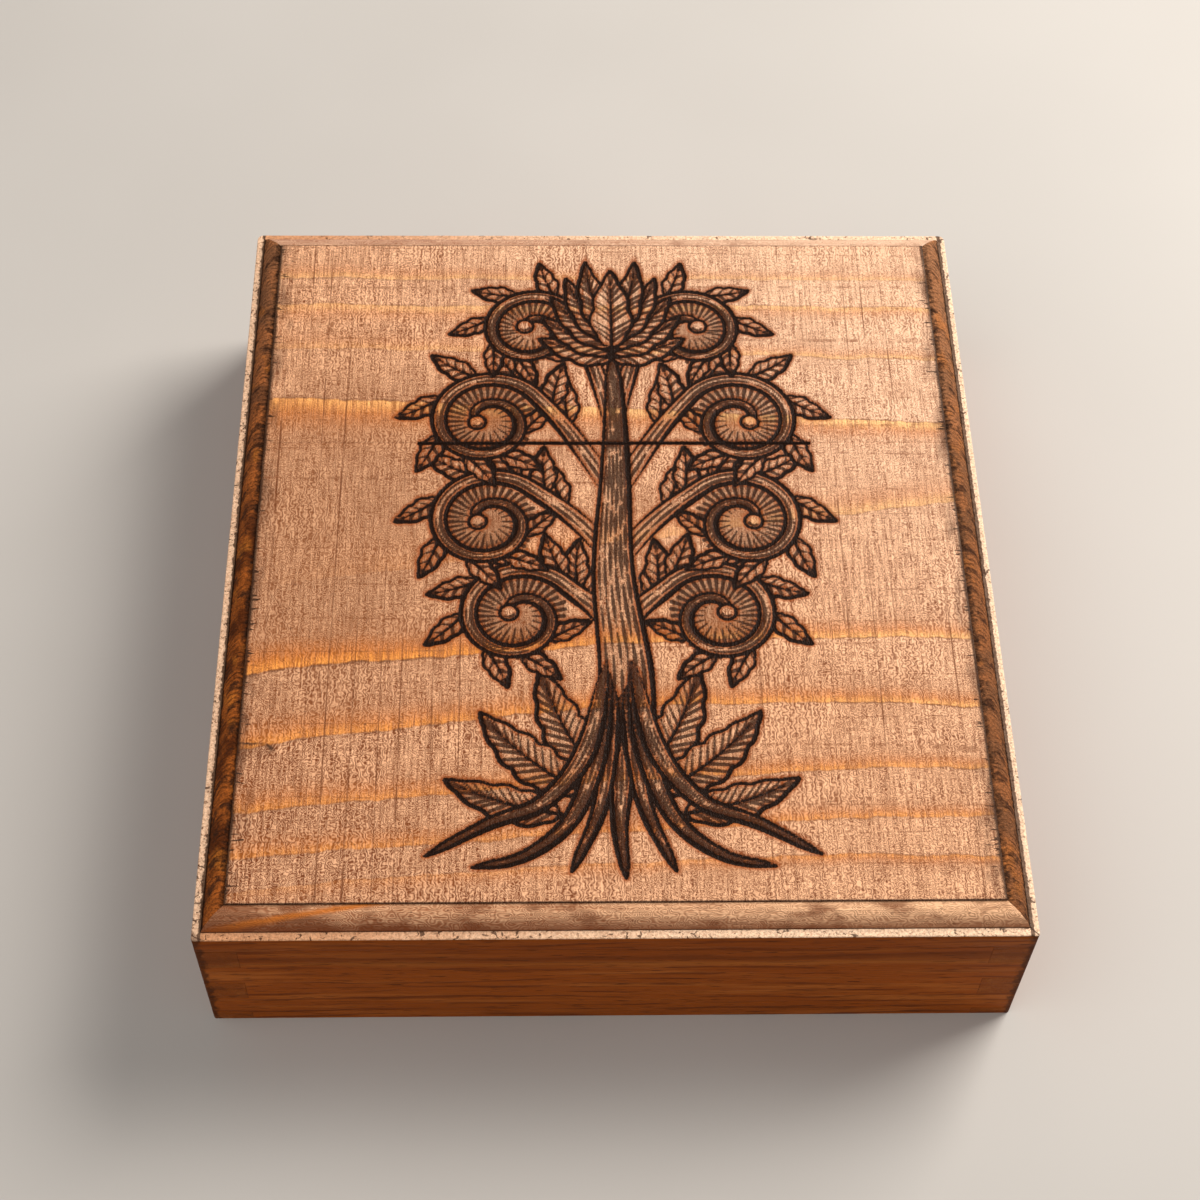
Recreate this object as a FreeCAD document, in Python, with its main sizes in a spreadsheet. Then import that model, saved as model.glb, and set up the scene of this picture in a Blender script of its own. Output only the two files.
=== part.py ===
import FreeCAD, Part
import math
import os
import Sketcher
from FreeCAD import Vector

# A flat wooden box with a sliding lid. Millimetres, X to the right, Y from front to back, Z up.
# The origin is the middle of the box's footprint, on the surface that it stands on.

document = FreeCAD.newDocument("sliding_lid_box")
sheet = document.addObject("Spreadsheet::Sheet", "size")
aliases = []


class Size:
    """A length with its formula on the sheet's values, and what that formula gives."""

    def __init__(self, formula, value):
        self.formula = formula
        self.value = float(value)

    def joined(self, sign, other, value):
        return Size(f"({self.formula} {sign} {other.formula})", value)

    def __add__(self, other):
        other = as_size(other)
        return self.joined("+", other, self.value + other.value)

    def __sub__(self, other):
        other = as_size(other)
        return self.joined("-", other, self.value - other.value)

    def __mul__(self, other):
        other = as_size(other)
        return self.joined("*", other, self.value * other.value)

    def __truediv__(self, other):
        other = as_size(other)
        return self.joined("/", other, self.value / other.value)

    def __neg__(self):
        return self * -1

    def root(self):
        return Size(f"sqrt({self.formula})", math.sqrt(self.value))

    def rounded_up(self):
        return Size(f"ceil({self.formula})", math.ceil(self.value))


def as_size(number):
    """A plain number as a size, and a size as it is."""
    if isinstance(number, Size):
        return number
    return Size(repr(number), number)


def dimension(alias, value):
    """Writes one driving dimension on the sheet."""
    aliases.append(alias)
    row = len(aliases)
    sheet.set(f"A{row}", alias)
    sheet.set(f"B{row}", str(value))
    sheet.setAlias(f"B{row}", alias)
    return Size(f"{sheet.Name}.{alias}", value)


# Walls, with finger joints at the corners. Finger rows are counted down from the walls' top.
box_width = dimension("box_width", 160)
box_depth = dimension("box_depth", 180)
body_height = dimension("body_height", 30.6)
wall_thickness = dimension("wall_thickness", 8)
finger_height = dimension("finger_height", 7)
front_corner_radius = dimension("front_corner_radius", 0.6)
rear_corner_radius = dimension("rear_corner_radius", 1.4)

# Bottom panel, loose in a groove that runs round all four walls.
panel_thickness = dimension("panel_thickness", 4)
panel_rise = dimension("panel_rise", 3)
panel_groove_depth = dimension("panel_groove_depth", 4)
panel_clearance = dimension("panel_clearance", 0.3)

# Lid of two edge-glued boards, with a bead and a ledge worked round its top.
lid_thickness = dimension("lid_thickness", 8)
front_board_width = dimension("front_board_width", 116)
ledge_width = dimension("ledge_width", 1.7)
bead_radius = dimension("bead_radius", 4.76)
bead_drop = dimension("bead_drop", 2.8)
quirk_step = dimension("quirk_step", 0.4)

# Runners under the lid, whose tongues slide in grooves in the side walls.
runner_width = dimension("runner_width", 7.7)
runner_easing = dimension("runner_easing", 0.8)
tongue_height = dimension("tongue_height", 3)
runner_groove_depth = dimension("runner_groove_depth", 3)
running_clearance = dimension("running_clearance", 0.3)

# Countersunk wood screws with a straight slot.
screw_length = dimension("screw_length", 10)
screw_radius = dimension("screw_radius", 1.25)
screw_head_radius = dimension("screw_head_radius", 2.5)
screw_point_length = dimension("screw_point_length", 2)
slot_width = dimension("slot_width", 0.6)
slot_depth = dimension("slot_depth", 0.6)
screw_end_distance = dimension("screw_end_distance", 12)

SCREWS_PER_STRIP = 3
QUARTER_TURN = math.pi / 2
SAME_PLACE = 0.01
overrun = as_size(1)
nothing = as_size(0)

half_width = box_width / 2
half_depth = box_depth / 2
inner_half_width = half_width - wall_thickness
inner_half_depth = half_depth - wall_thickness
row_pitch = finger_height * 2

# The rear wall is one finger lower than the others, and the lid's runners pass over it.
rear_wall_height = body_height - finger_height

lid_top = body_height + lid_thickness
bead_top = lid_top - quirk_step
ledge_level = bead_top - bead_drop
bead_reach = (bead_drop * (bead_radius * 2 - bead_drop)).root()
board_seam = front_board_width - half_depth

runner_bottom = rear_wall_height + running_clearance
runner_height = body_height - runner_bottom
runner_outer = inner_half_width - running_clearance
runner_inner = runner_outer - runner_width
screw_line = runner_inner + runner_width / 2
runner_screw_front = screw_end_distance - inner_half_depth
runner_screw_rear = half_depth - screw_end_distance
batten_screw_reach = runner_inner - screw_end_distance
batten_screw_line = half_depth - wall_thickness / 2


def spaced(first, last):
    """The places of the screws of one strip, from its first to its last."""
    step = (last - first) / (SCREWS_PER_STRIP - 1)
    return [first + step * number for number in range(SCREWS_PER_STRIP)]


def new_body(label):
    body = document.addObject("PartDesign::Body", label)
    body.Label = label
    return body


def new_sketch(body, name, plane, rise=nothing):
    """A sketch on one of the body's own origin planes, lifted along the plane's normal."""
    sketch = body.newObject("Sketcher::SketchObject", name)
    support = next(feature for feature in body.Origin.OriginFeatures if feature.Role == plane)
    sketch.AttachmentSupport = (support, [""])
    sketch.MapMode = "FlatFace"
    sketch.setExpression("AttachmentOffset.Base.z", rise.formula)
    return sketch


def hold(sketch, kind, geometry, point, size):
    """Holds one coordinate of a sketch's point at a size."""
    place = sketch.addConstraint(Sketcher.Constraint(kind, geometry, point, size.value))
    sketch.setExpression(f"Constraints[{place}]", size.formula)


def hold_radius(sketch, geometry, size):
    place = sketch.addConstraint(Sketcher.Constraint("Radius", geometry, size.value))
    sketch.setExpression(f"Constraints[{place}]", size.formula)


def chain(sketch, points):
    """Straight lines from point to point, each point held at its sizes. Gives the first line."""
    first = sketch.GeometryCount
    corners = [Vector(x.value, y.value, 0) for x, y in points]
    for place, ends in enumerate(zip(corners, corners[1:])):
        sketch.addGeometry(Part.LineSegment(*ends))
        line = first + place
        hold(sketch, "DistanceX", line, 1, points[place][0])
        hold(sketch, "DistanceY", line, 1, points[place][1])
        if place:
            sketch.addConstraint(Sketcher.Constraint("Coincident", line - 1, 2, line, 1))
    return first


def outline(sketch, points):
    """A closed outline of straight lines."""
    first = chain(sketch, points + points[:1])
    last = first + len(points) - 1
    sketch.addConstraint(Sketcher.Constraint("Coincident", last, 2, first, 1))


def rectangle(sketch, left, right, low, high):
    outline(sketch, [(left, low), (right, low), (right, high), (left, high)])


def circle(sketch, x, y, radius):
    centre = Vector(x.value, y.value, 0)
    ring = sketch.addGeometry(Part.Circle(centre, Vector(0, 0, 1), radius.value))
    hold(sketch, "DistanceX", ring, 3, x)
    hold(sketch, "DistanceY", ring, 3, y)
    hold_radius(sketch, ring, radius)


def pad(body, sketch, length, reversed_way=False):
    feature = body.newObject("PartDesign::Pad", f"{sketch.Name}_pad")
    feature.Profile = sketch
    feature.Reversed = reversed_way
    feature.setExpression("Length", length.formula)
    document.recompute()
    return feature


def check_cut(feature, body, volume_before):
    """Stops if a feature that should take wood away takes none."""
    document.recompute()
    if body.Shape.Volume >= volume_before:
        raise RuntimeError(f"{feature.Name} cuts nothing")


def pocket(body, sketch, length=None, symmetric=False, reversed_way=False):
    """Cuts a sketch's outline away: as deep as a length, or right through both ways."""
    volume_before = body.Shape.Volume
    feature = body.newObject("PartDesign::Pocket", f"{sketch.Name}_pocket")
    feature.Profile = sketch
    feature.Reversed = reversed_way
    if symmetric:
        feature.SideType = "Symmetric"
    if length is None:
        feature.Type = "ThroughAll"
    else:
        feature.setExpression("Length", length.formula)
    check_cut(feature, body, volume_before)
    return feature


def repeat(body, features, axis, spacing, count):
    """Repeats features at an even spacing along an axis of the body's origin."""
    feature = body.newObject("PartDesign::LinearPattern", f"{features[-1].Name}_row")
    direction = next(line for line in body.Origin.OriginFeatures if line.Role == axis)
    feature.Originals = features
    feature.Direction = (direction, [""])
    feature.Mode = "Spacing"
    feature.Reversed = axis == "Z_Axis"
    feature.setExpression("Offset", spacing.formula)
    feature.setExpression("Occurrences", count.formula)
    body.Tip = feature
    document.recompute()
    return feature


def round_corners(body, block, side):
    """Rounds the upright edges in front (-1) or at the rear (1) that lie furthest out."""
    def reach(edge):
        middle = edge.CenterOfMass
        return math.hypot(middle.x, middle.y) if middle.y * side > 0 else 0

    def is_upright(edge):
        return edge.Curve.TypeId == "Part::GeomLine" and abs(edge.Curve.Direction.z) > 0.5

    uprights = {
        f"Edge{number}": reach(edge)
        for number, edge in enumerate(block.Shape.Edges, start=1)
        if is_upright(edge)
    }
    furthest = max(uprights.values())
    corners = [name for name, distance in uprights.items() if furthest - distance < SAME_PLACE]
    radius = front_corner_radius if side < 0 else rear_corner_radius
    fillet = body.newObject("PartDesign::Fillet", "rounded_corners")
    fillet.Base = (block, corners)
    fillet.setExpression("Radius", radius.formula)
    document.recompute()
    return fillet


def cut_finger_notches(body, plane, inner, outer, top):
    """Cuts both ends of a wall for the other walls' fingers, every second row from the top."""
    notches = new_sketch(body, "finger_notches", plane)
    low = top - finger_height
    rectangle(notches, inner, outer + overrun, low, top)
    rectangle(notches, -(outer + overrun), -inner, low, top)
    first = pocket(body, notches, symmetric=True)
    rows = (top / row_pitch).rounded_up()
    repeat(body, [first], "Z_Axis", row_pitch, rows)


def cut_panel_groove(body, plane, inner, corner, side):
    """Cuts the bottom panel's groove, as far along the wall as the panel's corners."""
    groove = new_sketch(body, "panel_groove", plane)
    depth_limit = inner + panel_groove_depth
    high = panel_rise + panel_thickness + panel_clearance
    rectangle(groove, inner * side, depth_limit * side, panel_rise, high)
    pocket(body, groove, length=corner * 2, symmetric=True)


def end_wall(label, side, height, first_notch_top):
    """The front or rear wall: side is -1 in front and 1 at the rear."""
    body = new_body(label)
    plan = new_sketch(body, "plan", "XY_Plane")
    rectangle(plan, -half_width, half_width, inner_half_depth * side, half_depth * side)
    round_corners(body, pad(body, plan, height), side)
    cut_finger_notches(body, "XZ_Plane", inner_half_width, half_width, first_notch_top)
    corner = inner_half_width + panel_groove_depth
    cut_panel_groove(body, "YZ_Plane", inner_half_depth, corner, side)
    return body


def side_wall(label, side):
    """The left or right wall: side is -1 on the left and 1 on the right."""
    body = new_body(label)
    plan = new_sketch(body, "plan", "XY_Plane")
    rectangle(plan, inner_half_width * side, half_width * side, -half_depth, half_depth)
    block = pad(body, plan, body_height)
    round_corners(body, round_corners(body, block, -1), 1)
    cut_finger_notches(body, "YZ_Plane", inner_half_depth, half_depth, rear_wall_height)
    corner = inner_half_depth + panel_groove_depth
    cut_panel_groove(body, "XZ_Plane", inner_half_width, corner, side)
    groove = new_sketch(body, "runner_groove", "XY_Plane", rear_wall_height)
    groove_bed = inner_half_width + runner_groove_depth
    blind_end = -(inner_half_depth + running_clearance)
    open_end = half_depth + overrun
    rectangle(groove, inner_half_width * side, groove_bed * side, blind_end, open_end)
    pocket(body, groove, length=tongue_height + running_clearance * 2, reversed_way=True)
    return body


def bottom_panel(label):
    body = new_body(label)
    plan = new_sketch(body, "plan", "XY_Plane", panel_rise)
    bite = panel_groove_depth - panel_clearance
    across = inner_half_width + bite
    along = inner_half_depth + bite
    rectangle(plan, -across, across, -along, along)
    pad(body, plan, panel_thickness)
    return body


def moulding(sketch, edge, inward):
    """What the cutter takes off one edge of the lid: ledge, bead and the quirk above it."""
    outside = edge - overrun * inward
    foot = edge + ledge_width * inward
    field = edge + (ledge_width + bead_reach) * inward
    above = lid_top + overrun
    points = [(field, bead_top), (field, above), (outside, above), (outside, ledge_level),
              (foot, ledge_level)]
    first = chain(sketch, points)
    last = sketch.GeometryCount - 1
    hold(sketch, "DistanceX", last, 2, foot)
    hold(sketch, "DistanceY", last, 2, ledge_level)
    centre = Vector(field.value, (bead_top - bead_radius).value, 0)
    ring = Part.Circle(centre, Vector(0, 0, 1), bead_radius.value)
    foot_angle = math.atan2(ledge_level.value - centre.y, foot.value - centre.x)
    if inward > 0:
        bead = sketch.addGeometry(Part.ArcOfCircle(ring, QUARTER_TURN, foot_angle))
        sketch.addConstraint(Sketcher.Constraint("Coincident", bead, 1, first, 1))
        sketch.addConstraint(Sketcher.Constraint("Coincident", bead, 2, last, 2))
    else:
        bead = sketch.addGeometry(Part.ArcOfCircle(ring, foot_angle, QUARTER_TURN))
        sketch.addConstraint(Sketcher.Constraint("Coincident", bead, 2, first, 1))
        sketch.addConstraint(Sketcher.Constraint("Coincident", bead, 1, last, 2))
    hold_radius(sketch, bead, bead_radius)


def lid_board(label, front, rear, moulded_edge, inward):
    """One board of the lid, from front to rear, moulded on both ends and on one long edge."""
    body = new_body(label)
    plan = new_sketch(body, "plan", "XY_Plane", body_height)
    rectangle(plan, -half_width, half_width, front, rear)
    round_corners(body, pad(body, plan, lid_thickness), -inward)
    ends = new_sketch(body, "end_moulding", "XZ_Plane")
    moulding(ends, -half_width, 1)
    moulding(ends, half_width, -1)
    pocket(body, ends, symmetric=True)
    long_edge = new_sketch(body, "edge_moulding", "YZ_Plane")
    moulding(long_edge, moulded_edge, inward)
    pocket(body, long_edge, symmetric=True)
    pilots = new_sketch(body, "pilot_holes", "XY_Plane", body_height)
    for y in spaced(runner_screw_front, runner_screw_rear):
        circle(pilots, -screw_line, y, screw_radius)
        circle(pilots, screw_line, y, screw_radius)
    for x in spaced(-batten_screw_reach, batten_screw_reach):
        circle(pilots, x, batten_screw_line, screw_radius)
    pocket(body, pilots, length=screw_length - runner_height, reversed_way=True)
    return body


def drill_for_screws(body, places):
    """Drills a strip from below, with a countersink for each screw's head."""
    marks = new_sketch(body, "screw_places", "XY_Plane", runner_bottom)
    for x, y in places:
        circle(marks, x, y, screw_radius)
    document.recompute()
    volume_before = body.Shape.Volume
    holes = body.newObject("PartDesign::Hole", "screw_holes")
    holes.Profile = marks
    holes.Reversed = True
    holes.DepthType = "ThroughAll"
    holes.DrillPoint = "Flat"
    holes.HoleCutType = "Countersink"
    holes.HoleCutCustomValues = True
    holes.HoleCutCountersinkAngle = 90
    holes.setExpression("Diameter", (screw_radius * 2).formula)
    holes.setExpression("HoleCutDiameter", (screw_head_radius * 2).formula)
    check_cut(holes, body, volume_before)


def runner(label, side):
    """A strip under one side of the lid, with a tongue that slides in the wall's groove."""
    body = new_body(label)
    section = new_sketch(body, "section", "XZ_Plane", inner_half_depth)
    tongue = inner_half_width + runner_groove_depth - running_clearance
    tongue_top = runner_bottom + tongue_height
    outline(section, [
        ((runner_inner + runner_easing) * side, runner_bottom),
        (tongue * side, runner_bottom),
        (tongue * side, tongue_top),
        (runner_outer * side, tongue_top),
        (runner_outer * side, body_height),
        (runner_inner * side, body_height),
        (runner_inner * side, runner_bottom + runner_easing),
    ])
    pad(body, section, inner_half_depth + half_depth, reversed_way=True)
    line = screw_line * side
    drill_for_screws(body, [(line, y) for y in spaced(runner_screw_front, runner_screw_rear)])
    return body


def rear_batten(label):
    """The strip across the rear of the lid, which closes the gap above the rear wall."""
    body = new_body(label)
    plan = new_sketch(body, "plan", "XY_Plane", runner_bottom)
    rectangle(plan, -runner_inner, runner_inner, inner_half_depth, half_depth)
    pad(body, plan, runner_height)
    places = [(x, batten_screw_line) for x in spaced(-batten_screw_reach, batten_screw_reach)]
    drill_for_screws(body, places)
    return body


def screws(label, x, y, axis, spacing):
    """A row of screws, driven up from below. Each head lies flush in its countersink."""
    body = new_body(label)
    profile = new_sketch(body, "profile", "XZ_Plane")
    head_height = screw_head_radius - screw_radius
    outline(profile, [
        (nothing, nothing),
        (screw_head_radius, nothing),
        (screw_radius, head_height),
        (screw_radius, screw_length - screw_point_length),
        (nothing, screw_length),
    ])
    turned = body.newObject("PartDesign::Revolution", "turned")
    turned.Profile = profile
    turned.ReferenceAxis = (profile, ["V_Axis"])
    document.recompute()
    slot = new_sketch(body, "slot", "XY_Plane")
    slot_reach = screw_head_radius + overrun
    rectangle(slot, -slot_reach, slot_reach, slot_width / -2, slot_width / 2)
    cut = pocket(body, slot, length=slot_depth, reversed_way=True)
    repeat(body, [turned, cut], axis, spacing, as_size(SCREWS_PER_STRIP))
    body.setExpression("Placement.Base.x", x.formula)
    body.setExpression("Placement.Base.y", y.formula)
    body.setExpression("Placement.Base.z", runner_bottom.formula)
    return body


runner_screw_spacing = (runner_screw_rear - runner_screw_front) / (SCREWS_PER_STRIP - 1)
batten_screw_spacing = batten_screw_reach * 2 / (SCREWS_PER_STRIP - 1)

sub_parts = [
    end_wall("front_wall", -1, body_height, body_height),
    end_wall("rear_wall", 1, rear_wall_height, rear_wall_height - finger_height),
    side_wall("left_wall", -1),
    side_wall("right_wall", 1),
    bottom_panel("bottom_panel"),
    lid_board("lid_front_board", -half_depth, board_seam, -half_depth, 1),
    lid_board("lid_rear_board", board_seam, half_depth, half_depth, -1),
    runner("left_runner", -1),
    runner("right_runner", 1),
    rear_batten("rear_batten"),
    screws("left_runner_screws", -screw_line, runner_screw_front, "Y_Axis", runner_screw_spacing),
    screws("right_runner_screws", screw_line, runner_screw_front, "Y_Axis", runner_screw_spacing),
    screws("batten_screws", -batten_screw_reach, batten_screw_line, "X_Axis",
           batten_screw_spacing),
]

document.recompute()
for thing in document.Objects:
    if "Invalid" in thing.State or "Error" in thing.State:
        raise RuntimeError(f"{thing.Name} failed: {thing.State}")
for sub_part in sub_parts:
    shape = sub_part.Shape
    if shape.isNull() or not shape.isValid():
        raise RuntimeError(f"{sub_part.Label} has no valid shape")

os.makedirs("parts", exist_ok=True)
for sub_part in sub_parts:
    sub_part.Shape.exportStep(f"parts/{sub_part.Label}.step")
    count = len(sub_part.Shape.Solids)
    print(f"{sub_part.Label}: {count} solid(s), {sub_part.Shape.Volume:.1f} mm3")
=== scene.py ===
import math

import bmesh
import bpy
import numpy as np
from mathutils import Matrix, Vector


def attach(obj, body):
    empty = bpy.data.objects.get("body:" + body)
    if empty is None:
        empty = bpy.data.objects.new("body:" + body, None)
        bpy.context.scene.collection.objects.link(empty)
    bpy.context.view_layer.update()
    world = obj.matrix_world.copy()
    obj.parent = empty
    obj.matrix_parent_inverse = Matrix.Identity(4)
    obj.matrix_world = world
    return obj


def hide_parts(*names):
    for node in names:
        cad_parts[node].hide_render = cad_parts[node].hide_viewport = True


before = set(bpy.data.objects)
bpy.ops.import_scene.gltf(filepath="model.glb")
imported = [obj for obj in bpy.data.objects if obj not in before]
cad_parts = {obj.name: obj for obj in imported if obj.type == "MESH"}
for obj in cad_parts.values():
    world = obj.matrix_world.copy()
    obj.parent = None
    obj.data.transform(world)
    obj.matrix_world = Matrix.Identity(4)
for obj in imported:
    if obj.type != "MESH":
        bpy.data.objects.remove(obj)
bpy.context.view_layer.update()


# The four walls
# Planed pine stock 8 mm thick, cut into square fingers at both ends, glued at the corners and
# then stained and waxed as one carcase. The grain runs along each wall, so the finger ends
# on the neighbouring face show end grain.

MM = 0.001
HALF_WIDTH = 80.0
HALF_DEPTH = 90.0
WALL_EASE = 0.08 * MM


class Value:
    """A number or colour that varies over a surface: one output of a node."""

    def __init__(self, finish, socket):
        self.finish = finish
        self.socket = socket

    def math(self, operation, first, second=0.0):
        return self.finish.node("Math", {"operation": operation}, {0: first, 1: second})

    def __add__(self, other):
        return self.math("ADD", self, other)

    def __sub__(self, other):
        return self.math("SUBTRACT", self, other)

    def __rsub__(self, other):
        return self.math("SUBTRACT", other, self)

    def __mul__(self, other):
        return self.math("MULTIPLY", self, other)

    def __truediv__(self, other):
        return self.math("DIVIDE", self, other)

    def __pow__(self, other):
        return self.math("POWER", self, other)

    def __abs__(self):
        return self.math("ABSOLUTE", self)

    def most(self, other):
        return self.math("MAXIMUM", self, other)

    __radd__ = __add__
    __rmul__ = __mul__


class Finish:
    """One material. Its lengths are millimetres on the object at rest."""

    def __init__(self, name):
        self.material = bpy.data.materials.new(name)
        self.material.use_nodes = True
        self.tree = self.material.node_tree
        self.tree.nodes.clear()
        self.spot = self.node("TexCoord", {}, {}, "Object")

    def node(self, kind, settings, sockets, output=0):
        made = self.tree.nodes.new("ShaderNode" + kind)
        for name, setting in settings.items():
            setattr(made, name, setting)
        for name, given in sockets.items():
            if isinstance(given, Value):
                self.tree.links.new(given.socket, made.inputs[name])
            else:
                made.inputs[name].default_value = given
        return Value(self, made.outputs[output])

    def place(self, stretch=(1, 1, 1), shift=(0, 0, 0)):
        """The spot on the object in millimetres, each axis divided by its stretch."""
        scale = tuple(1000 / size for size in stretch)
        settings = {"operation": "MULTIPLY_ADD"}
        return self.node("VectorMath", settings, {0: self.spot, 1: scale, 2: shift})

    def axis(self, letter):
        return self.node("SeparateXYZ", {}, {0: self.place()}, letter)

    def noise(self, stretch, detail=2.0, roughness=0.5, twist=0.0, shift=(0, 0, 0)):
        """Soft patches from 0 to 1, about as many millimetres across as stretch says."""
        sockets = {
            "Vector": self.place(stretch, shift),
            "Scale": 1.0,
            "Detail": detail,
            "Roughness": roughness,
            "Distortion": twist,
        }
        return self.node("TexNoise", {}, sockets, "Fac")

    def grain(self, along, size, length, detail=2.0, roughness=0.5, shift=(0, 0, 0)):
        """Patches drawn out along the grain, which runs along X or Y."""
        stretch = (length, size, size) if along == "X" else (size, length, size)
        return self.noise(stretch, detail, roughness, 0.0, shift)

    def rise(self, value, low, high):
        """0 below low, 1 above high, and smooth between."""
        settings = {"interpolation_type": "SMOOTHSTEP"}
        return self.node("MapRange", settings, {"Value": value, "From Min": low, "From Max": high})

    def waves(self, value):
        """From 0 to 1 and back, once for each whole step of the value."""
        return self.node("Math", {"operation": "SINE"}, {0: value * (2 * math.pi)}) * 0.5 + 0.5

    def over(self, under, mask, colour):
        """Colour laid over what is under it, as far as the mask says."""
        under = under if isinstance(under, Value) else (*under, 1)
        colour = colour if isinstance(colour, Value) else (*colour, 1)
        settings = {"data_type": "RGBA", "clamp_factor": True}
        return self.node("Mix", settings, {0: mask, 6: under, 7: colour}, 2)

    def shade(self, colour, factor):
        """The colour, darker where the factor is under 1 and lighter where it is over 1."""
        settings = {"operation": "SCALE"}
        return self.node("VectorMath", settings, {0: colour, "Scale": factor})

    def apply(self, colour, roughness, height=None, **constants):
        """The finished surface. The height is in millimetres."""
        sockets = {"Base Color": colour, "Roughness": roughness}
        if height is not None:
            sockets["Normal"] = self.node("Bump", {}, {"Height": height, "Distance": MM})
        sockets.update({name.replace("_", " "): given for name, given in constants.items()})
        surface = self.node("BsdfPrincipled", {}, sockets)
        out = self.tree.nodes.new("ShaderNodeOutputMaterial")
        self.tree.links.new(surface.socket, out.inputs["Surface"])
        return self.material


def wall_finish(name, along, ends):
    """Stained pine: wavy lines along the grain, a dark band near the top, painted shade on the upper
    part, and darker towards the corners.
    """
    finish = Finish(name)
    up = finish.axis("Z")
    wander = finish.grain(along, 7, 46) * 6.0 - 3.0
    ripple = finish.grain(along, 1.3, 7, shift=(4, 4, 2)) * 1.2 - 0.6
    level = up + wander + ripple
    rings = finish.rise(finish.waves(level / 2.7), 0.55, 1.0)
    fine_rings = finish.rise(finish.waves(level / 0.83), 0.4, 1.0)
    broken = finish.rise(finish.grain(along, 2.2, 20, 2, 0.5, (3, 7, 1)), 0.40, 0.62)
    fibre = finish.grain(along, 0.24, 9, 3, 0.6)
    needle = finish.rise(finish.grain(along, 0.34, 4.5, 1, 0.5, (9, 2, 4)), 0.64, 0.73)
    patch = finish.noise((26, 26, 7), 2, 0.5, shift=(0, 5, 0))
    streak = finish.rise(finish.grain(along, 2.6, 44, 2, 0.5, (6, 3, 5)), 0.48, 0.72)
    band_height, glow_height = 27.0, 24.4
    band = finish.rise(abs(level - band_height), 1.5, 0.3)
    glow = finish.rise(abs(level - glow_height), 1.7, 0.2)
    colour = finish.over((0.372, 0.079, 0.008), patch, (0.474, 0.112, 0.012))
    colour = finish.over(colour, streak * 0.55, (0.660, 0.205, 0.040))
    colour = finish.over(colour, rings * broken * 0.84, (0.190, 0.042, 0.007))
    colour = finish.over(colour, fine_rings * 0.26, (0.250, 0.070, 0.013))
    colour = finish.over(colour, glow * 0.42, (0.620, 0.210, 0.040))
    colour = finish.over(colour, band * 0.68, (0.190, 0.046, 0.008))
    # Painted shade: the upper part of each wall is made darker and redder.
    colour = finish.over(colour, finish.rise(up, 15.0, 30.0) * 0.35, (0.300, 0.058, 0.005))
    colour = finish.over(colour, needle * 0.70, (0.100, 0.026, 0.006))
    # Its last term is painted shade too, darkening the colour towards the top.
    colour = finish.shade(colour, 0.60 + fibre * 0.66 - finish.rise(up, 14.0, 31.0) * 0.12)
    if ends:
        dot = finish.rise(finish.noise((0.5, 0.5, 0.5), 2, 0.6), 0.54, 0.66)
        colour = finish.over(colour, 0.40 + dot * 0.40, (0.210, 0.058, 0.011))
    across = (along == "X") != ends
    to_corner = abs(finish.axis("X" if across else "Y")) - (HALF_WIDTH if across else HALF_DEPTH)
    # Darker towards the corners, with a ragged edge.
    ragged = finish.noise((1.8, 1.8, 2.4), 3, 0.65, shift=(4, 1, 6)) * 4.6
    corner_dark = finish.rise(to_corner + ragged, 0.3, 1.7)
    colour = finish.over(colour, corner_dark * 0.80, (0.065, 0.018, 0.005))
    height = fibre * 0.07 - needle * 0.06 - rings * 0.03
    return finish.apply(colour, 0.45 + fibre * 0.16, height, Specular_IOR_Level=0.05)


def eased_copy(name, ease, finishes, grain):
    """A CAD solid's own shape with its sharp outer edges eased, long grain and end grain apart."""
    shape = bmesh.new()
    shape.from_mesh(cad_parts[name].data)
    bmesh.ops.remove_doubles(shape, verts=shape.verts, dist=1e-6)
    bmesh.ops.dissolve_limit(shape, angle_limit=0.02, verts=shape.verts, edges=shape.edges)
    closed = [edge for edge in shape.edges if len(edge.link_faces) == 2]
    sharp = [edge for edge in closed if edge.calc_face_angle_signed() > 0.5]
    bmesh.ops.bevel(shape, geom=sharp, offset=ease, segments=2, profile=0.5, affect="EDGES")
    for face in shape.faces:
        face.smooth = False
        face.material_index = 1 if abs(face.normal[grain]) > 0.7 else 0
    mesh = bpy.data.meshes.new(name + "_wood")
    shape.to_mesh(mesh)
    shape.free()
    for material in finishes:
        mesh.materials.append(material)
    piece = bpy.data.objects.new(name + "_wood", mesh)
    bpy.context.scene.collection.objects.link(piece)
    return piece


wall_long_x = wall_finish("wall long grain across", "X", False)
wall_ends_x = wall_finish("wall finger ends across", "X", True)
wall_long_y = wall_finish("wall long grain front to back", "Y", False)
wall_ends_y = wall_finish("wall finger ends front to back", "Y", True)

for wall, finishes, grain in (
    ("front_wall", (wall_long_x, wall_ends_x), 0),
    ("rear_wall", (wall_long_x, wall_ends_x), 0),
    ("left_wall", (wall_long_y, wall_ends_y), 1),
    ("right_wall", (wall_long_y, wall_ends_y), 1),
):
    piece = eased_copy(wall, WALL_EASE, finishes, grain)
    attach(piece, "box")
    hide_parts(wall)


# The bottom panel
# One thin pine board let into a groove that runs round the inside of the four walls. It is
# left loose in the groove, planed and not stained.

STRIP_EASE = 0.15 * MM


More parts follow.
